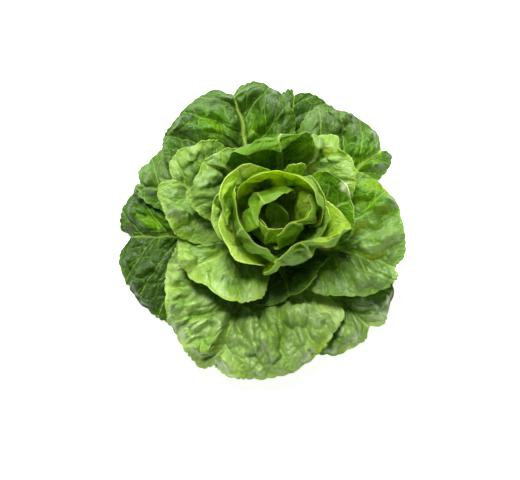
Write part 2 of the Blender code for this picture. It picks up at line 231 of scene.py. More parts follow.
# The large puffs, in millimetres: distance to the left of the midrib as seen from outside, distance
# from the foot, half width and half length. Turn is the angle in degrees from the midrib to the
# length, and height is a share of the leaf's blisters.
Puff = namedtuple("Puff", "leaf offset distance wide long turn height")
PUFFS = (
    Puff("outer_leaf_02", -9, 80, 10, 17, 12, 0.95),
    Puff("outer_leaf_02", 20, 76, 8, 16, 18, 0.85),
    Puff("outer_leaf_02", 38, 76, 9, 13, 30, 0.90),
    Puff("outer_leaf_02", 45, 48, 8, 19, 72, 1.00),
    Puff("outer_leaf_02", -34, 66, 8, 18, -30, 0.60),
    Puff("outer_leaf_02", -44, 84, 8, 14, -20, 0.50),
    Puff("outer_leaf_02", 72, 42, 8, 14, 60, 0.45),
    Puff("middle_leaf_07", -19, 47, 10, 15, -35, 0.80),
    Puff("middle_leaf_07", -8, 70, 8, 12, 60, 0.60),
    Puff("middle_leaf_07", 22, 44, 9, 16, 40, 0.55),
    Puff("middle_leaf_09", 27, 58, 8, 24, 25, 0.80),
    Puff("middle_leaf_09", -7, 50, 8, 14, -40, 0.75),
    Puff("middle_leaf_09", 9, 78, 8, 17, 20, 0.60),
    Puff("middle_leaf_09", -17, 72, 9, 14, -30, 0.60),
    Puff("middle_leaf_09", 46, 70, 9, 16, 45, 0.40),
    Puff("middle_leaf_06", 22, 70, 9, 14, 30, 0.65),
    Puff("middle_leaf_06", 4, 60, 8, 12, 0, 0.60),
    Puff("middle_leaf_06", -20, 72, 8, 13, -35, 0.55),
    Puff("middle_leaf_04", -8, 70, 8, 13, 70, 0.60),
    Puff("middle_leaf_04", 18, 68, 8, 11, 20, 0.60),
    Puff("middle_leaf_05", 16, 70, 9, 11, 30, 0.60),
    Puff("middle_leaf_05", 3, 54, 7, 12, 75, 0.50),
    Puff("middle_leaf_08", 30, 41, 7, 10, 20, 0.90),
    Puff("middle_leaf_08", 14, 40, 6, 10, -10, 0.60),
    Puff("outer_leaf_01", 12, 88, 12, 20, 12, 0.60),
    Puff("outer_leaf_01", -26, 84, 11, 22, -20, 0.65),
    Puff("outer_leaf_01", 44, 84, 10, 22, 30, 0.55),
    Puff("outer_leaf_03", 44, 86, 10, 18, 20, 0.60),
    Puff("outer_leaf_03", 14, 90, 10, 16, 10, 0.45),
    Puff("outer_leaf_04", -34, 84, 9, 12, -20, 0.75),
    Puff("outer_leaf_04", -28, 62, 8, 13, -40, 0.55),
    Puff("outer_leaf_06", 10, 78, 9, 16, 15, 0.60),
    Puff("outer_leaf_06", -18, 84, 8, 14, -20, 0.60),
    Puff("outer_leaf_07", -32, 88, 10, 20, -60, 0.80),
    Puff("outer_leaf_07", 24, 80, 10, 18, 40, 0.55),
    Puff("outer_leaf_07", 44, 96, 9, 16, 20, 0.45),
)

# The marks, as leaf, offset, distance and radius: dry patches, folded tips bleached pale, and patches
# of painted shade, which have neither bloom nor painted sheen and take a green of the depth set below.
Mark = namedtuple("Mark", "leaf offset distance radius")
DRY_PATCHES = (Mark("outer_leaf_05", -25, 95, 5),)
BLEACHED_TIPS = (Mark("middle_leaf_02", 14, 80, 5), Mark("middle_leaf_02", 6, 84, 4))
SHADE_PATCHES = (
    Mark("middle_leaf_09", 52, 62, 24),
    Mark("middle_leaf_09", 20, 44, 14),
    Mark("outer_leaf_03", 2, 82, 24),
    Mark("outer_leaf_01", 26, 84, 16),
    Mark("outer_leaf_01", -14, 72, 14),
    Mark("outer_leaf_07", -12, 84, 16),
)
SHADE_DEPTH = 0.46


# ---------------------------------------------------------------- bowl curves


def full_size(leaf):
    """The leaf with its measures in metres."""
    measures = ("length", "left", "right", "widest", "notch", "crease", "tilt", "ruffle")
    return leaf._replace(**{name: getattr(leaf, name) * MM for name in measures})


def stem_radius(height):
    """Radius of the stem at a height above its cut face."""
    share = np.clip(height / STEM_HEIGHT, 0, 1)
    return STEM_RADIUS * (1 - share**STEM_FULLNESS) ** STEM_SHOULDER


def smooth_through(places, values, at):
    """Monotone cubic through a few values, straight beyond both ends."""
    places = np.asarray(places, float)
    values = np.asarray(values, float)
    slope = np.diff(values) / np.diff(places)
    bend = np.concatenate([slope[:1], (slope[1:] + slope[:-1]) / 2, slope[-1:]])
    cell = np.clip(np.searchsorted(places, at) - 1, 0, len(slope) - 1)
    width = places[cell + 1] - places[cell]
    share = (at - places[cell]) / width
    inside = np.clip(share, 0, 1)
    start = values[cell] + bend[cell] * width * inside
    rest = values[cell + 1] - values[cell] - bend[cell] * width
    turn = (bend[cell + 1] - bend[cell]) * width
    curve = start + (3 * rest - turn) * inside**2 + (turn - 2 * rest) * inside**3
    outside = (share - inside) * width
    return curve + outside * np.where(share > 1, bend[-1], bend[0])


def bowl_tables():
    """Radius and height of the bowl curves, on a grid of layer by distance from the foot."""
    layers = np.linspace(-0.1, 1.2, 131)
    steps = np.linspace(0, MAP_LENGTH, 161)
    share = steps / CURVE_LENGTH
    slopes = [smooth_through(BOWL_LAYERS, column, layers) for column in zip(*BOWL_SLOPES)]
    foot, middle, tip = (np.radians(slope)[:, None] for slope in slopes)
    angle = foot * (1 - share) ** 2 + 2 * middle * share * (1 - share) + tip * share**2
    angle = np.where(share > 1, tip + 0 * angle, angle)
    height = smooth_through(BOWL_LAYERS, BOWL_FEET, layers) * STEM_HEIGHT
    middle_angle = (angle[:, 1:] + angle[:, :-1]) / 2
    run = np.cumsum(np.cos(middle_angle), axis=1) * steps[1]
    rise = np.cumsum(np.sin(middle_angle), axis=1) * steps[1]
    zero = np.zeros((len(layers), 1))
    radius = stem_radius(height)[:, None] + STEM_CLEARANCE + np.hstack([zero, run])
    return layers, steps, radius, height[:, None] + np.hstack([zero, rise])


def look_up(table, row, column):
    """Bilinear reading of a table at fractional rows and columns."""
    row = np.clip(row, 0, table.shape[0] - 1.001)
    column = np.clip(column, 0, table.shape[1] - 1.001)
    i = row.astype(int)
    j = column.astype(int)
    down = row - i
    along = column - j
    upper = table[i, j] * (1 - along) + table[i, j + 1] * along
    lower = table[i + 1, j] * (1 - along) + table[i + 1, j + 1] * along
    return upper * (1 - down) + lower * down


class Bowl:
    """The family of bowl curves, read at any layer and distance from the foot."""

    def __init__(self):
        self.layers, self.steps, self.radius, self.height = bowl_tables()
        across = np.gradient(self.radius, self.layers, axis=0)
        down = np.gradient(self.height, self.layers, axis=0)
        run = np.gradient(self.radius, self.steps, axis=1)
        rise = np.gradient(self.height, self.steps, axis=1)
        self.spacing = np.abs(across * rise - down * run)

    def read(self, table, layer, step):
        row = (layer - self.layers[0]) / (self.layers[1] - self.layers[0])
        return look_up(table, row, step / self.steps[1])

    def place(self, layer, step):
        return self.read(self.radius, layer, step), self.read(self.height, layer, step)

    def layers_per_metre(self, layer, step):
        return 1 / np.maximum(self.read(self.spacing, layer, step), 8 * MM)


# ---------------------------------------------------------------- the flat leaf


def spread(cells):
    """Places across the blade from -1 to 1, closer together near the midrib."""
    even = np.linspace(-1, 1, cells + 1)
    return np.sign(even) * np.abs(even) ** CROWDING


class Blade:
    """The leaf laid flat on a grid: where each point lies, and how near it is to margin and midrib."""

    def __init__(self, leaf, cells_across, cells_along, scallop=0.0):
        self.across = across = spread(cells_across)[None, :]
        self.along = along = np.linspace(0, 1, cells_along + 1)[:, None]
        share = leaf.widest / leaf.length
        wide = np.where(across > 0, leaf.left, leaf.right)
        self.upper = upper = np.clip((along - share) / (1 - share), 0, 1)
        lower = np.clip(along / share, 0, 1)
        taper = np.sin(lower * math.pi / 2) ** 1.15
        foot = HEART_FOOT + (OUTER_FOOT - HEART_FOOT) * leaf.layer
        half = foot + (np.maximum(wide, foot) - foot) * taper
        top = leaf.length - leaf.widest
        offset = half * across * np.sqrt(1 - 0.5 * upper**2)
        distance = leaf.widest * lower + top * upper * np.sqrt(1 - 0.5 * across**2)
        wave = 0.012 * np.sin(5 * across + leaf.azimuth) * upper
        cut = leaf.notch * np.exp(-((across / 0.16) ** 2)) * upper**3
        self.offset = offset * (1 + wave)
        self.distance = distance * (1 + wave) - cut
        side = (1 - np.abs(across)) * half
        crown = (1 - upper) * top * np.sqrt(1 - 0.5 * across**2)
        self.margin = np.minimum(side, crown)
        self.edge = np.maximum(np.abs(across), upper)
        turn = np.arctan2(upper, across)
        reach = (top + half) / 2
        self.arc = turn * reach - np.sign(across) * leaf.widest * (1 - lower)
        if scallop:
            self.crimp(leaf, half, scallop)

    def crimp(self, leaf, half, depth):
        """Draws the margin in between its scallops."""
        swing = np.sin(self.arc / SCALLOP * 1.7 + leaf.azimuth)
        tooth = np.abs(np.sin(math.pi * self.arc / SCALLOP + 0.8 * swing)) ** 0.8
        draw = depth * (1 - tooth) * self.edge**6 / half
        fade = np.clip(self.along * 4, 0, 1)
        self.offset = self.offset * (1 - draw * fade)
        middle = leaf.widest
        self.distance = np.where(
            self.distance > middle,
            middle + (self.distance - middle) * (1 - draw * fade),
            self.distance,
        )


def wrap(bowl, leaf, layer, offset, distance):
    """Azimuth and distance along the bowl of points of the flat leaf."""
    slope = bowl.read(bowl.height, layer, leaf.widest) - bowl.read(bowl.height, layer, 0)
    run = bowl.read(bowl.radius, layer, leaf.widest) - bowl.read(bowl.radius, layer, 0)
    cosine = np.clip(run / np.hypot(run, slope), 0.08, 1)
    apex = bowl.read(bowl.radius, layer, 0) / cosine
    reach = np.hypot(offset, distance + apex)
    turn = np.arctan2(offset, distance + apex)
    step = np.maximum(reach - apex, 0)
    radius = np.maximum(bowl.read(bowl.radius, layer, step), 2 * MM)
    return math.radians(leaf.azimuth) + turn * reach / radius, step


def rib_height(leaf):
    """How far the midrib stands out behind the blade at the leaf's foot."""
    return HEART_RIB + (OUTER_RIB - HEART_RIB) * leaf.layer


def thickness(leaf, offset, share, blade_thickness=BLADE_THICKNESS):
    """Leaf section: a thin blade on a rib that runs out towards the tip."""
    rib = rib_height(leaf) * np.exp(-((offset / RIB_WIDTH) ** 2)) * (1 - share) ** 1.5
    return blade_thickness + rib


def curled(leaf, distance):
    """Distance along the bowl, and lean towards the heart, of a leaf whose top bends over."""
    along = np.linspace(0, 1.1 * leaf.length, 221)
    share = np.clip((along - leaf.length + leaf.crease) / leaf.crease, 0, 1)
    angle = math.radians(leaf.curl) * share * share * (3 - 2 * share)
    step = np.cumsum(np.cos(angle)) * along[1] - along[1]
    lean = np.cumsum(np.sin(angle)) * along[1]
    return np.interp(distance, along, step), np.interp(distance, along, lean)


def wanted_layer(leaf, bowl, distance, lean, across, along):
    """The layer that each point would take with nothing in its way."""
    lean = leaf.tilt * across - lean
    wave = np.sin(across * 7 + leaf.azimuth) * np.sin(along * 5 + leaf.layer * 40)
    margin = np.maximum(np.abs(across), along) ** 3
    lean = lean + leaf.ruffle * wave * margin
    step = np.maximum(distance, 0)
    flat = np.full_like(distance, leaf.layer)
    return leaf.layer + lean * bowl.layers_per_metre(flat, step)


# ---------------------------------------------------------------- stacking


class Stack:
    """What the leaves so far reach to, so that the next one stays outside them."""

    def __init__(self, turns, steps):
        self.reached = np.full((turns, steps), -1.0)

    def cells(self, azimuth, step):
        turns, steps = self.reached.shape
        turn = np.floor(azimuth / (2 * math.pi) * turns).astype(int) % turns
        place = np.clip((step / MAP_LENGTH * steps).astype(int), 0, steps - 1)
        return turn, place

    def needed(self, azimuth, step):
        widened = self.reached
        for shift, axis in ((1, 0), (-1, 0), (1, 1), (-1, 1)):
            moved = np.roll(self.reached, shift, axis)
            if axis == 1:
                moved[:, 0 if shift == 1 else -1] = -1
            widened = np.maximum(widened, moved)
        return widened[self.cells(azimuth, step)]

    def add(self, azimuth, step, layer):
        np.maximum.at(self.reached, self.cells(azimuth, step), layer)


def soften(field):
    """One pass of averaging over the grid, with its margin kept."""
    wide = np.pad(field, 1, mode="edge")
    near = wide[:-2, 1:-1] + wide[2:, 1:-1] + wide[1:-1, :-2] + wide[1:-1, 2:]
    return (near + 2 * field) / 6


def refined(corners):
    """The grid of cell corners, filled in between to the settling grid."""
    rows = np.linspace(0, corners.shape[0] - 1, (corners.shape[0] - 1) * FINE + 1)
    columns = np.linspace(0, corners.shape[1] - 1, (corners.shape[1] - 1) * FINE + 1)
    return look_up(corners, rows[:, None] + 0 * columns, columns[None, :] + 0 * rows[:, None])


def most_nearby(field):
    """At each cell corner, the greatest value of the settling grid within one cell."""
    wide = np.pad(field, FINE, mode="edge")
    rows = range(0, field.shape[0], FINE)
    columns = range(0, field.shape[1], FINE)
    reach = 2 * FINE + 1
    return np.array([[wide[i : i + reach, j : j + reach].max() for j in columns] for i in rows])


def settle(leaf, bowl, stack):
    """The leaf's layer at its cell corners, clear of the leaves inside it."""
    flat = Blade(leaf, CELLS_ACROSS * FINE, CELLS_ALONG * FINE)
    distance, lean = curled(leaf, flat.distance)
    wanted = wanted_layer(leaf, bowl, distance, lean, flat.across, flat.along)
    corners = wanted[::FINE, ::FINE]
    for _ in range(SETTLING_ROUNDS):
        layer = refined(corners)
        azimuth, step = wrap(bowl, leaf, layer, flat.offset, distance)
        gap = LEAF_CLEARANCE * bowl.layers_per_metre(layer, step)
        lack = np.maximum(stack.needed(azimuth, step) + gap - layer, 0)
        corners = corners + most_nearby(lack)
        corners = np.maximum(corners, soften(corners))
    layer = refined(corners)
    azimuth, step = wrap(bowl, leaf, layer, flat.offset, distance)
    back = thickness(leaf, flat.offset, flat.along) * bowl.layers_per_metre(layer, step)
    stack.add(azimuth, step, layer + back)
    return corners


# ---------------------------------------------------------------- the fine leaf


def curve_weights(count, places):
    """Weights that read a row of values at fractional places along a smooth curve through them."""
    weights = np.zeros((len(places), count))
    cell = np.clip(places.astype(int), 1, count - 3)
    t = places - cell
    terms = (
        (-1, -0.5 * t + t**2 - 0.5 * t**3),
        (0, 1 - 2.5 * t**2 + 1.5 * t**3),
        (1, 0.5 * t + 2 * t**2 - 1.5 * t**3),
        (2, 0.5 * t**3 - 0.5 * t**2),
    )
    for shift, weight in terms:
        weights[np.arange(len(places)), cell + shift] = weight
    return weights


def smooth_grid(corners, rows, columns):
    """The cell corners' values on a finer grid, by a smooth surface through them."""
    wide = np.pad(corners, 1, mode="reflect", reflect_type="odd")
    down = curve_weights(wide.shape[0], np.linspace(1, wide.shape[0] - 2, rows))
    over = curve_weights(wide.shape[1], np.linspace(1, wide.shape[1] - 2, columns))
    return down @ wide @ over.T


def eased(field, passes):
    """The field with its peaks kept and the ground round them raised to gentle slopes."""
    for _ in range(passes):
        field = np.maximum(field, soften(field))
    return field


def margin_wave(leaf, flat):
    """How far the rim waves in and out, in metres."""
    long_wave = np.sin(flat.arc / (6.5 * MM) + leaf.azimuth * 1.7)
    slow = np.sin(flat.arc / (11 * MM) + leaf.layer * 31)
    short_wave = np.sin(flat.arc / (2.6 * MM) + 2 * long_wave + leaf.azimuth)
    height = 0.6 * MM + leaf.ruffle
    lift = height * (0.7 * long_wave + 0.7 * slow) * flat.edge**4
    crinkle = 0.12 * height * short_wave * flat.edge**10
    return lift + crinkle


def unit(vectors):
    return vectors / np.maximum(np.linalg.norm(vectors, axis=-1, keepdims=True), 1e-12)


def outward_of(points):
    """Unit vectors square to the sheet, pointing away from the heart."""
    over = np.gradient(points, axis=1)
    up = np.gradient(points, axis=0)
    normal = unit(np.cross(over, up))
    for _ in range(4):
        normal = unit(np.stack([soften(normal[..., k]) for k in range(3)], axis=-1))
    return normal


def leaf_points(bowl, layer, azimuth, step):
    """World positions of the leaf's inner face, clear of the floor, with its foot in the stem."""
    radius, height = bowl.place(layer, step)
    height = np.maximum(height, FLOOR_CLEARANCE + BLADE_THICKNESS)
    radius = np.maximum(radius, stem_radius(height) + STEM_CLEARANCE)
    radius = radius - FOOT_SINK * np.exp(-((step / FOOT_SINK_LENGTH) ** 2))
    return np.stack([radius * np.cos(azimuth), radius * np.sin(azimuth), height], axis=-1)


def fine_sheet(leaf, bowl, corners, stack):
    """The leaf's inner face on the fine grid, with what its relief and finish need at each point."""
    cells_across = 2 * int((leaf.left + leaf.right) / SKIN_SPACING / 2)
    cells_along = int(leaf.length / SKIN_SPACING)
    share = HEART_SCALLOPS + (1 - HEART_SCALLOPS) * leaf.layer
    flat = Blade(leaf, cells_across, cells_along, SCALLOP_DEPTH * share)
    distance, _ = curled(leaf, flat.distance)
    layer = smooth_grid(corners, cells_along + 1, cells_across + 1)
    azimuth, step = wrap(bowl, leaf, layer, flat.offset, distance)
    per_metre = bowl.layers_per_metre(layer, step)
    layer = layer + margin_wave(leaf, flat) * per_metre
    reach = int(8 * MM / SKIN_SPACING) * 3
    for _ in range(3):
        azimuth, step = wrap(bowl, leaf, layer, flat.offset, distance)
        need = stack.needed(azimuth, step)
        lack = np.maximum(need + FINE_CLEARANCE * per_metre - layer, 0)
        layer = layer + eased(lack, reach)
    azimuth, step = wrap(bowl, leaf, layer, flat.offset, distance)
    need = stack.needed(azimuth, step)
    free = np.where(need < -0.5, WIDE_ROOM, (layer - need) / per_metre - 0.3 * MM)
    room = -eased(-np.clip(free, 0, WIDE_ROOM), reach)
    thick = thickness(leaf, flat.offset, flat.along, FINE_BLADE)
    stack.add(azimuth, step, layer + thick * per_metre)
    return flat, leaf_points(bowl, layer, azimuth, step), room, thick


def ring_order(rows, columns):
    """Indices of the grid's rim, anticlockwise."""
    grid = np.arange(rows * columns).reshape(rows, columns)
    return np.concatenate([grid[0, :-1], grid[:-1, -1], grid[-1, :0:-1], grid[:0:-1, 0]])


def sheet_faces(rows, columns):
    """Quads of a closed leaf: its inner face, its outer face and the rim between them."""
    grid = np.arange(rows * columns).reshape(rows, columns)
    quads = np.stack([grid[:-1, :-1], grid[:-1, 1:], grid[1:, 1:], grid[1:, :-1]], axis=-1)
    quads = quads.reshape(-1, 4)
    rim = ring_order(rows, columns)
    after = np.roll(rim, -1)
    back = rows * columns
    wall = np.stack([after + back, rim + back, rim, after], axis=-1)
    return np.concatenate([quads[:, ::-1], quads + back, wall])


def mesh_from(name, points, faces):
    mesh = bpy.data.meshes.new(name)
    mesh.vertices.add(len(points))
    mesh.vertices.foreach_set("co", points.astype(np.float32).ravel())
    mesh.loops.add(faces.size)
    mesh.loops.foreach_set("vertex_index", faces.astype(np.int32).ravel())
    mesh.polygons.add(len(faces))
    starts = np.arange(0, faces.size, faces.shape[1], dtype=np.int32)
    mesh.polygons.foreach_set("loop_start", starts)
    mesh.update(calc_edges=True)
    mesh.validate()
    mesh.shade_smooth()
    return mesh


def add_vector(mesh, name, values):
    layer = mesh.attributes.new(name, "FLOAT_VECTOR", "POINT")
    layer.data.foreach_set("vector", values.astype(np.float32).ravel())


def vein_places(leaf, flat):
    """Coordinates that follow the side veins: where a vein leaves the midrib, and how far out."""
    out = np.abs(flat.offset)
    start = flat.distance - 0.85 * out + 2.6 * out**2
    side = np.where(flat.offset > 0, 0.5 * SIDE_VEIN_SPACING, 0)
    own = leaf.azimuth * 7.3 * MM + leaf.layer
    zero = np.zeros_like(out)
    return np.stack([start + side + own, flat.offset + 3.1 * own, zero], axis=-1)


def puff_field(leaf, flat):
    """The large puffs of a leaf, each a rounded dome with a wandering outline."""
    field = np.zeros_like(flat.offset)
    x = flat.offset / MM
    y = flat.distance / MM
    own = leaf.azimuth
    x_waved = x + SLOW_WANDER * np.sin(0.33 * y + own) + QUICK_WANDER * np.sin(0.75 * y + 0.4 * x)
    y_waved = y + SLOW_WANDER * np.sin(0.30 * x + 2 * own) + QUICK_WANDER * np.sin(0.70 * x - 0.3 * y)
    for puff in PUFFS:
        if puff.leaf == leaf.name:
            angle = math.radians(puff.turn)
            over = x_waved - puff.offset
            up = y_waved - puff.distance
            aside = (over * math.cos(angle) - up * math.sin(angle)) / puff.wide
            ahead = (over * math.sin(angle) + up * math.cos(angle)) / puff.long
            share = np.clip(1 - aside**2 - ahead**2, 0, 1)
            field = np.maximum(field, puff.height * share)
    return field


def mark_field(leaf, flat, marks):
    """Soft round patches at a leaf's marks."""
    field = np.zeros_like(flat.offset)
    for mark in marks:
        if mark.leaf == leaf.name:
            away = np.hypot(flat.offset / MM - mark.offset, flat.distance / MM - mark.distance)
            field = np.maximum(field, np.clip(1.4 - away / mark.radius, 0, 1))
    return field


def leaf_mesh(leaf, look, bowl, corners, stack):
    """The closed leaf before its relief, with its finish as point attributes."""
    flat, front, room, thick = fine_sheet(leaf, bowl, corners, stack)
    rows, columns = room.shape
    outward = outward_of(front)
    back = front + outward * thick[..., None]
    back[..., 2] = np.maximum(back[..., 2], FLOOR_CLEARANCE)
    points = np.concatenate([front.reshape(-1, 3), back.reshape(-1, 3)])
    mesh = mesh_from(leaf.name, points, sheet_faces(rows, columns))

    def both(field):
        field = np.broadcast_to(field, (rows, columns))
        return np.concatenate([field.ravel(), field.ravel()])

    width = 1 * MM + 5 * MM * (1 - flat.along) ** 1.2
    rib = np.exp(-((flat.offset / width) ** 2))
    under = np.repeat([0.0, 1.0], rows * columns)
    places = vein_places(leaf, flat).reshape(-1, 3)
    add_vector(mesh, "outward", np.concatenate([outward.reshape(-1, 3)] * 2))
    add_vector(mesh, "place", np.concatenate([places, places]))
    zones = np.stack([both(flat.along), both(rib), both(flat.margin)], axis=-1)
    add_vector(mesh, "zones", zones)
    add_vector(mesh, "room", np.stack([both(room), both(look.blister * MM), under], axis=-1))
    vault = np.sin(math.pi * np.abs(flat.across) ** 0.8) * np.cos(flat.upper * math.pi / 2)
    # Painted shade patches: they lose the bloom and painted sheen, and their green moves to the patch
    # depth.
    clear = np.minimum(mark_field(leaf, flat, SHADE_PATCHES), 1)
    depth = look.depth + (SHADE_DEPTH - look.depth) * clear
    bloom = look.bloom * (1 - clear)
    tone = np.stack([both(depth), both(bloom), both(vault)], axis=-1)
    add_vector(mesh, "tone", tone)
    fields = [puff_field(leaf, flat)]
    fields += [mark_field(leaf, flat, marks) for marks in (DRY_PATCHES, BLEACHED_TIPS)]
    add_vector(mesh, "marks", np.stack([both(field) for field in fields], axis=-1))
    return mesh


# ---------------------------------------------------------------- node trees


class Wire:
    """A socket in a node tree. Arithmetic on it adds Math nodes."""

    def __init__(self, web, socket):
        self.web = web
        self.socket = socket

    def maths(self, operation, *others, clamp=False):
        values = dict(enumerate((self, *others)))
        settings = {"operation": operation, "use_clamp": clamp}
        return self.web.node("ShaderNodeMath", settings, values)

    def __add__(self, other):
        return self.maths("ADD", other)

    def __sub__(self, other):
        return self.maths("SUBTRACT", other)

    def __rsub__(self, other):
        return self.web.node("ShaderNodeMath", {"operation": "SUBTRACT"}, {0: other, 1: self})

    def __mul__(self, other):
        return self.maths("MULTIPLY", other)

    def __truediv__(self, other):
        return self.maths("DIVIDE", other)

    def __rtruediv__(self, other):
        return self.web.node("ShaderNodeMath", {"operation": "DIVIDE"}, {0: other, 1: self})

    __radd__ = __add__
    __rmul__ = __mul__

    def clamped(self):
        return self.maths("ADD", 0.0, clamp=True)

    def most(self, other):
        return self.maths("MAXIMUM", other)

    def least(self, other):
        return self.maths("MINIMUM", other)

    def ramp(self, low, high):
        """0 at low, 1 at high, with soft ends."""
        settings = {"interpolation_type": "SMOOTHSTEP"}
        values = {"Value": self, "From Min": low, "From Max": high}
        return self.web.node("ShaderNodeMapRange", settings, values)


class Web:
    """A node tree and the one way that nodes are added to it."""

    def __init__(self, tree):
        self.tree = tree

    def node(self, kind, settings=None, values=None, output=0):
        made = self.tree.nodes.new(kind)
        for name, value in (settings or {}).items():
            setattr(made, name, value)
        for name, value in (values or {}).items():
            if isinstance(value, Wire):
                self.tree.links.new(value.socket, made.inputs[name])
            else:
                made.inputs[name].default_value = value
        return Wire(self, made.outputs[output]) if len(made.outputs) else None

    def vector_of(self, name):
        """A point attribute, as a vector."""
        if self.tree.bl_idname == "GeometryNodeTree":
            settings = {"data_type": "FLOAT_VECTOR"}
            return self.node("GeometryNodeInputNamedAttribute", settings, {"Name": name})
        return self.node("ShaderNodeAttribute", {"attribute_name": name}, output="Vector")

    def parts_of(self, vector):
        first = self.node("ShaderNodeSeparateXYZ", None, {0: vector})
        sockets = first.socket.node.outputs
        return [Wire(self, socket) for socket in sockets]

    def noise(self, vector, size, detail=2.0, roughness=0.5):
        values = {"Vector": vector, "Scale": 1 / size, "Detail": detail, "Roughness": roughness}
        return self.node("ShaderNodeTexNoise", {"noise_dimensions": "3D"}, values)

    def blend(self, share, start, end):
        """A colour between two others."""
        settings = {"data_type": "RGBA", "clamp_factor": True}
        return self.node("ShaderNodeMix", settings, {0: share, 6: start, 7: end}, output=2)

    def vector_sum(self, first, second, operation="ADD"):
        return self.node("ShaderNodeVectorMath", {"operation": operation}, {0: first, 1: second})

    def scaled(self, vector, share):
        values = {0: vector, "Scale": share}
        return self.node("ShaderNodeVectorMath", {"operation": "SCALE"}, values)


def vein_distances(web, place):
    """How far each point is from the side veins and from the veins of the two nets, in metres."""
    values = {"Vector": place, "Scale": 1 / VEIN_WANDER_SIZE, "Detail": 2.0}
    drift = web.node("ShaderNodeTexNoise", None, values, output="Color")
    centred = web.vector_sum(drift, (0.5, 0.5, 0.5), "SUBTRACT")
    wandering = web.vector_sum(place, web.scaled(centred, VEIN_WANDER))
    along = web.parts_of(wandering)[0]
    edges = {"feature": "DISTANCE_TO_EDGE", "voronoi_dimensions": "1D"}
    values = {"W": along, "Scale": 1 / SIDE_VEIN_SPACING, "Randomness": 0.7}
    side = web.node("ShaderNodeTexVoronoi", edges, values)
    edges = {"feature": "DISTANCE_TO_EDGE", "voronoi_dimensions": "2D"}
    nets = []
    for size in (NET_CELL, FINE_NET_CELL):
        values = {"Vector": wandering, "Scale": 1 / size, "Randomness": 0.9}
        nets.append(web.node("ShaderNodeTexVoronoi", edges, values) * size)
    return side * SIDE_VEIN_SPACING, nets[0], nets[1]


def dome(distance, width):
    """A rounded rise from 0 on a vein to 1 beyond the given width."""
    fall = 1 - (distance / width).least(1.0)
    return 1 - fall * fall


def swelling(web, place):
    """The blistered relief between the veins, from 0 to about 1."""
    side, net, fine = vein_distances(web, place)
    group = dome(side, 0.45 * SIDE_VEIN_SPACING)
    cushion = dome(net, 0.42 * NET_CELL)
    pebble = 0.05 * dome(fine, 0.4 * FINE_NET_CELL)
    swell = 0.35 * web.noise(place, 10 * MM, 0.0) - 0.17
    uneven = 0.25 + 1.2 * web.noise(place, 28 * MM, 0.0).ramp(0.38, 0.6)
    return (group * (0.5 + 0.5 * cushion) + swell) * uneven + pebble


def geometry_tree(name, sizes):
    """An empty geometry tree with a mesh in and out, named sizes, and a material."""
    tree = bpy.data.node_groups.new(name, "GeometryNodeTree")
    tree.is_modifier = True
    sockets = tree.interface
    sockets.new_socket(name="Geometry", in_out="OUTPUT", socket_type="NodeSocketGeometry")
    sockets.new_socket(name="Geometry", in_out="INPUT", socket_type="NodeSocketGeometry")
    for size in sizes:
        sockets.new_socket(name=size, in_out="INPUT", socket_type="NodeSocketFloat")
    sockets.new_socket(name="Material", in_out="INPUT", socket_type="NodeSocketMaterial")
    inlet = tree.nodes.new("NodeGroupInput")
    web = Web(tree)
    return web, {socket.name: Wire(web, socket) for socket in inlet.outputs if socket.name}


def close_tree(web, geometry, material):
    """Ends a geometry tree in Realize Instances and Set Material."""
    real = web.node("GeometryNodeRealizeInstances", None, {"Geometry": geometry})
    coloured = {"Geometry": real, "Material": material}
    dressed = web.node("GeometryNodeSetMaterial", None, coloured)
    web.node("NodeGroupOutput", None, {"Geometry": dressed})
    return web.tree


def relief_tree():
    """Raises a leaf's blisters and puffs towards its inner side, within its room, and sways it."""
    web, inlet = geometry_tree("leaf_relief", RELIEF)
    place = web.vector_of("place")
    along, rib, margin = web.parts_of(web.vector_of("zones"))
    room, blister, _ = web.parts_of(web.vector_of("room"))
    rim = inlet["Rim Share"] + (1 - inlet["Rim Share"]) * margin.ramp(3 * MM, 14 * MM)
    foot = along.ramp(0.04, 0.4)
    vault = web.parts_of(web.vector_of("tone"))[2]
    puff = web.parts_of(web.vector_of("marks"))[0]
    swollen = swelling(web, place) * rim + PUFF_RISE * puff
    relief = swollen * (1 - 0.9 * rib) + VAULT_RISE * vault
    wanted = (relief * blister * inlet["Blister Scale"] * foot).most(0.0)
    rise = wanted * room / (wanted + room + 0.01 * MM)
    puffed = web.scaled(web.vector_of("outward"), -1 * rise)
    spot = web.node("GeometryNodeInputPosition")
    values = {"Vector": spot, "Scale": 1 / inlet["Sway Size"], "Detail": 1.0}
    drift = web.node("ShaderNodeTexNoise", None, values, output="Color")
    centred = web.vector_sum(drift, (0.5, 0.5, 0.5), "SUBTRACT")
    x, y, z = web.parts_of(spot)
    from_axis = (x * x + y * y).maths("SQRT")
    loose = from_axis.ramp(18 * MM, 34 * MM) * (1 - 0.55 * from_axis.ramp(60 * MM, 100 * MM))
    loose = loose.most(z.ramp(50 * MM, 75 * MM))
    drawn = web.scaled(centred, inlet["Sway"])
    over, along_y, lift = web.parts_of(drawn)
    values = {0: over * loose, 1: along_y * loose, 2: lift * z.ramp(0.0, 25 * MM)}
    sway = web.node("ShaderNodeCombineXYZ", None, values)
    moved_to = web.vector_sum(web.vector_sum(spot, puffed), sway)
    x, y, z = web.parts_of(moved_to)
    values = {0: x, 1: y, 2: z.most(inlet["Floor"])}
    above_floor = web.node("ShaderNodeCombineXYZ", None, values)
    values = {"Geometry": inlet["Geometry"], "Position": above_floor}
    moved = web.node("GeometryNodeSetPosition", None, values)
    return close_tree(web, moved, inlet["Material"])


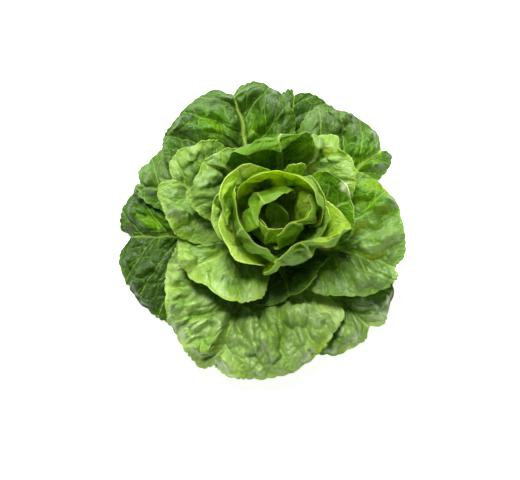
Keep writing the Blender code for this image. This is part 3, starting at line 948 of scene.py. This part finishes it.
def grown(source, tree, sizes, material, name):
    """The plain mesh object that a geometry tree makes from a source mesh."""
    work = bpy.data.objects.new(name, source)
    bpy.context.scene.collection.objects.link(work)
    modifier = work.modifiers.new("grow", "NODES")
    modifier.node_group = tree
    given = {**sizes, "Material": material}
    for socket in tree.interface.items_tree:
        if socket.in_out == "INPUT" and socket.name in given:
            modifier[socket.identifier] = given[socket.name]
    depsgraph = bpy.context.evaluated_depsgraph_get()
    result = work.evaluated_get(depsgraph)
    mesh = bpy.data.meshes.new_from_object(result, preserve_all_data_layers=True, depsgraph=depsgraph)
    work.modifiers.clear()
    work.data = mesh
    bpy.data.meshes.remove(source)
    mesh.name = name
    return work


# ---------------------------------------------------------------- materials


def new_material(name):
    material = bpy.data.materials.new(name)
    material.use_nodes = True
    shader = material.node_tree.nodes["Principled BSDF"]
    return material, Web(material.node_tree), shader


def feed(web, shader, name, wire):
    web.tree.links.new(wire.socket, shader.inputs[name])


PALE_RIB = (0.42, 0.58, 0.12, 1)
VEIN_GREEN = (0.27, 0.45, 0.05, 1)
# Painted sheen and waxy bloom: the whitish green that the blister crowns are painted towards.
BLOOM_AND_SHEEN_GREEN = (0.36, 0.52, 0.17, 1)
# The heart leaves' own pale yellow-green, made brighter still as painted light against the shade deep
# in the heart.
YOUNG_AND_LIT_GREEN = (0.32, 0.50, 0.008, 1)
FULL_GREEN = (0.055, 0.165, 0.002, 1)
DEEP_GREEN = (0.018, 0.058, 0.002, 1)
UNDER_GREEN = (0.085, 0.215, 0.002, 1)
BLEACHED = (0.72, 0.76, 0.50, 1)
DRY_BEIGE = (0.52, 0.44, 0.30, 1)


# Each kind of leaf: its roughness, how much light passes through it, and how pale its rim is.
Skin = namedtuple("Skin", "kind roughness glow rim")
SKINS = (
    Skin("heart", 0.36, 0.80, 0.6),
    Skin("middle", 0.30, 0.35, 0.4),
    Skin("outer", 0.28, 0.12, 0.2),
)


def leaf_finish(skin):
    """Waxy leaf: green by depth, pale veins, rim and rib, waxy bloom and painted sheen on the blisters,
    painted shade round the puffs, dry and pale marks.
    """
    material, web, shader = new_material(skin.kind + "_leaf_skin")
    place = web.vector_of("place")
    along, rib, margin = web.parts_of(web.vector_of("zones"))
    depth, bloom, _ = web.parts_of(web.vector_of("tone"))
    under = web.parts_of(web.vector_of("room"))[2]
    puff, dry, bleached = web.parts_of(web.vector_of("marks"))
    side, net, fine = vein_distances(web, place)
    veins = (1 - side.ramp(0.1 * MM, 0.9 * MM)) * 0.7
    veins = veins.most((1 - net.ramp(0.0 * MM, 0.6 * MM)) * 0.5)
    veins = veins.most((1 - fine.ramp(0.0 * MM, 0.5 * MM)) * 0.18) * (1 - 0.45 * depth)
    mottle = web.noise(place, 14 * MM, 4.0, 0.6)
    grain = web.noise(place, 1.8 * MM, 3.0, 0.65)
    spotted = depth + (mottle - 0.5) * 0.5 + (grain - 0.5) * 0.7
    # Painted shade: a deeper green ring round the foot of each puff, where its edge turns down into
    # shade; the painted sheen is weaker there too.
    crease = puff.ramp(0.0, 0.1) * (1 - puff.ramp(0.12, 0.5))
    spotted = spotted + 0.16 * crease
    deepness = (spotted - 0.15 * (1 - margin.ramp(2 * MM, 14 * MM))).clamped()
    young_and_lit = web.blend((deepness * 2).clamped(), YOUNG_AND_LIT_GREEN, FULL_GREEN)
    green = web.blend((deepness * 2 - 1).clamped(), young_and_lit, DEEP_GREEN)
    crowns = dome(side, 0.5 * SIDE_VEIN_SPACING) * dome(net, 0.34 * NET_CELL)
    patches = web.noise(place, 30 * MM, 2.0).ramp(0.3, 0.6)
    # Painted sheen and waxy bloom: the base colour paled towards a whitish green on the blister crowns
    # and in broad patches, where light would glance off the leaf.
    sheen = (0.2 + 0.6 * patches * (0.4 + 0.6 * crowns)) * bloom * (1 - 0.35 * crease)
    green = web.blend(sheen, green, BLOOM_AND_SHEEN_GREEN)
    green = web.blend(veins, green, VEIN_GREEN)
    green = web.blend(under * 0.75, green, UNDER_GREEN)
    foot = (1 - along.ramp(0.05, 0.5)).most(rib.ramp(0.3, 0.8) * (0.95 - 0.5 * along))
    green = web.blend(foot * 0.9, green, PALE_RIB)
    rim = 1 - margin.ramp(0.2 * MM, 0.9 * MM)
    green = web.blend(rim * skin.rim, green, PALE_RIB)
    green = web.blend(bleached * 0.85, green, BLEACHED)
    green = web.blend(dry * (0.3 + grain), green, DRY_BEIGE)
    feed(web, shader, "Base Color", green)
    feed(web, shader, "Roughness", skin.roughness + 0.14 * mottle + 0.12 * veins + 0.1 * under)
    feed(web, shader, "Coat Weight", (0.2 + 0.5 * patches) * bloom * (0.4 + grain))
    crinkle = 0.6 * dome(fine, 0.4 * FINE_NET_CELL) + 1.2 * grain
    values = {"Height": crinkle, "Distance": 0.7 * MM, "Strength": 0.7}
    feed(web, shader, "Normal", web.node("ShaderNodeBump", None, values))
    shader.inputs["Subsurface Weight"].default_value = skin.glow
    shader.inputs["Subsurface Radius"].default_value = (0.8, 1.0, 0.1)
    shader.inputs["Subsurface Scale"].default_value = 1 * MM + 4 * MM * skin.glow
    shader.inputs["Specular IOR Level"].default_value = 0.22
    shader.inputs["Coat Roughness"].default_value = 0.42
    return material


STEM_CREAM = (0.62, 0.60, 0.34, 1)
STEM_GREEN = (0.50, 0.60, 0.22, 1)
CUT_BROWN = (0.26, 0.13, 0.045, 1)
FIBRE_GREEN = (0.42, 0.46, 0.18, 1)


def stem_finish():
    """Moist cream flesh, greener up the side, with a browned rim round the cut face."""
    material, web, shader = new_material("stem_flesh")
    spot = web.node("ShaderNodeTexCoord", output="Object")
    x, y, z = web.parts_of(spot)
    from_axis = (x * x + y * y).maths("SQRT")
    fibres = web.noise(spot, 2.5 * MM, 4.0, 0.65)
    side_colour = web.blend(z.ramp(2 * MM, 14 * MM), STEM_CREAM, STEM_GREEN)
    stain = (1 - z.ramp(0.2 * MM, 3 * MM)) * from_axis.ramp(12 * MM, 19 * MM)
    stained = web.blend(stain * fibres * 1.4, side_colour, CUT_BROWN)
    flesh = web.blend(fibres * 0.4, stained, FIBRE_GREEN)
    feed(web, shader, "Base Color", flesh)
    feed(web, shader, "Roughness", 0.38 + 0.25 * fibres)
    values = {"Height": fibres, "Distance": 0.4 * MM, "Strength": 0.7}
    feed(web, shader, "Normal", web.node("ShaderNodeBump", None, values))
    shader.inputs["Subsurface Weight"].default_value = 0.2
    shader.inputs["Subsurface Scale"].default_value = 3 * MM
    return material


# ---------------------------------------------------------------- the stem


def stem_mesh():
    """The stem as a turned skin, with shallow flutes under the leaf feet."""
    heights = STEM_HEIGHT * np.sin(np.linspace(0, math.pi / 2, STEM_RINGS))
    turn = np.linspace(0, 2 * math.pi, STEM_SIDES, endpoint=False)
    flutes = 0.35 * MM * np.sin(5 * turn[None, :] + 9 * heights[:, None] / STEM_HEIGHT)
    rough = 0.2 * MM * np.sin(13 * turn[None, :] + 40 * heights[:, None] / STEM_HEIGHT)
    radius = np.maximum(stem_radius(heights)[:, None] + flutes + rough, 0.0)
    radius[0] = radius[0] - STEM_CUT_EDGE
    height = heights[:, None] + 0 * turn
    side = np.stack([radius * np.cos(turn), radius * np.sin(turn), height], axis=-1)[:-1]
    lower = np.linspace(0.1, 0.95, 12)[:, None, None] * side[:1] * (1, 1, 0)
    body = np.concatenate([lower, side])
    rows = len(body)
    points = np.concatenate([body.reshape(-1, 3), [(0, 0, 0), (0, 0, STEM_HEIGHT)]])
    grid = np.arange(rows * STEM_SIDES).reshape(rows, STEM_SIDES)
    after = np.roll(grid, -1, axis=1)
    quads = np.stack([grid[:-1], after[:-1], after[1:], grid[1:]], axis=-1).reshape(-1, 4)
    return points, quads, (grid, after)


def make_stem(material):
    points, quads, (grid, after) = stem_mesh()
    centre = len(points) - 2
    tip = len(points) - 1
    faces = [tuple(quad) for quad in quads.tolist()]
    faces += [(centre, b, a) for a, b in zip(grid[0].tolist(), after[0].tolist())]
    faces += [(tip, a, b) for a, b in zip(grid[-1].tolist(), after[-1].tolist())]
    mesh = bpy.data.meshes.new("stem")
    mesh.from_pydata([tuple(point) for point in points.tolist()], [], faces)
    mesh.shade_smooth()
    mesh.materials.append(material)
    stem = bpy.data.objects.new("stem", mesh)
    bpy.context.scene.collection.objects.link(stem)
    return stem


# ---------------------------------------------------------------- the whole head


def make_leaves(tree):
    """Every leaf, from the heart outwards."""
    finishes = {skin.kind: leaf_finish(skin) for skin in SKINS}
    bowl = Bowl()
    coarse = Stack(*COARSE_MAP)
    fine = Stack(*FINE_MAP)
    for row in LEAVES:
        leaf = full_size(row)
        corners = settle(leaf, bowl, coarse)
        mesh = leaf_mesh(leaf, LOOKS[leaf.name], bowl, corners, fine)
        kind = leaf.name.split("_")[0]
        piece = grown(mesh, tree, RELIEF, finishes[kind], leaf.name + "_skin")
        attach(piece, "root")
        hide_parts(leaf.name)


def plain(name, colour, roughness):
    material, _, shader = new_material(name)
    shader.inputs["Base Color"].default_value = (*colour, 1)
    shader.inputs["Roughness"].default_value = roughness
    return material


def make_floor():
    mesh = bpy.data.meshes.new("floor")
    corners = [(FLOOR_SIZE * x, FLOOR_SIZE * y, 0) for x, y in ((-1, -1), (1, -1), (1, 1), (-1, 1))]
    mesh.from_pydata(corners, [], [(0, 1, 2, 3)])
    paper = plain("pale_floor", (0.9, 0.9, 0.9), 0.7)
    glow = paper.node_tree.nodes["Principled BSDF"].inputs
    glow["Emission Color"].default_value = (1, 1, 1, 1)
    glow["Emission Strength"].default_value = FLOOR_GLOW
    mesh.materials.append(paper)
    floor = bpy.data.objects.new("floor", mesh)
    bpy.context.scene.collection.objects.link(floor)


def add_softbox(softbox):
    lamp = bpy.data.lights.new(softbox.name, "AREA")
    lamp.shape = "SQUARE"
    lamp.size = softbox.size
    lamp.energy = softbox.power
    box = bpy.data.objects.new(softbox.name, lamp)
    box.location = softbox.place
    towards = Vector(SOFTBOX_AIM) - Vector(softbox.place)
    box.rotation_euler = towards.to_track_quat("-Z", "Y").to_euler()
    bpy.context.scene.collection.objects.link(box)


def add_daylight():
    """Soft even light from all round."""
    world = bpy.data.worlds.new("studio")
    world.use_nodes = True
    background = world.node_tree.nodes["Background"].inputs
    background["Color"].default_value = (1, 1, 1, 1)
    background["Strength"].default_value = DAYLIGHT
    bpy.context.scene.world = world


def add_camera():
    """Looks down on the head, a little off the vertical."""
    elevation = math.radians(CAMERA_ELEVATION)
    forward = Vector((0, math.cos(elevation), -math.sin(elevation)))
    lens = bpy.data.cameras.new("camera")
    lens.sensor_width = SENSOR_WIDTH
    lens.lens = SENSOR_WIDTH * CAMERA_DISTANCE / VIEW_WIDTH
    camera = bpy.data.objects.new("camera", lens)
    camera.location = Vector(CAMERA_AIM) - forward * CAMERA_DISTANCE
    camera.rotation_euler = forward.to_track_quat("-Z", "Y").to_euler()
    bpy.context.scene.collection.objects.link(camera)
    bpy.context.scene.camera = camera


def build():
    make_leaves(relief_tree())
    stem = make_stem(stem_finish())
    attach(stem, "root")
    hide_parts("core")
    make_floor()
    for softbox in SOFTBOXES:
        add_softbox(softbox)
    add_daylight()
    add_camera()
    bpy.context.scene.view_settings.view_transform = "Standard"


build()
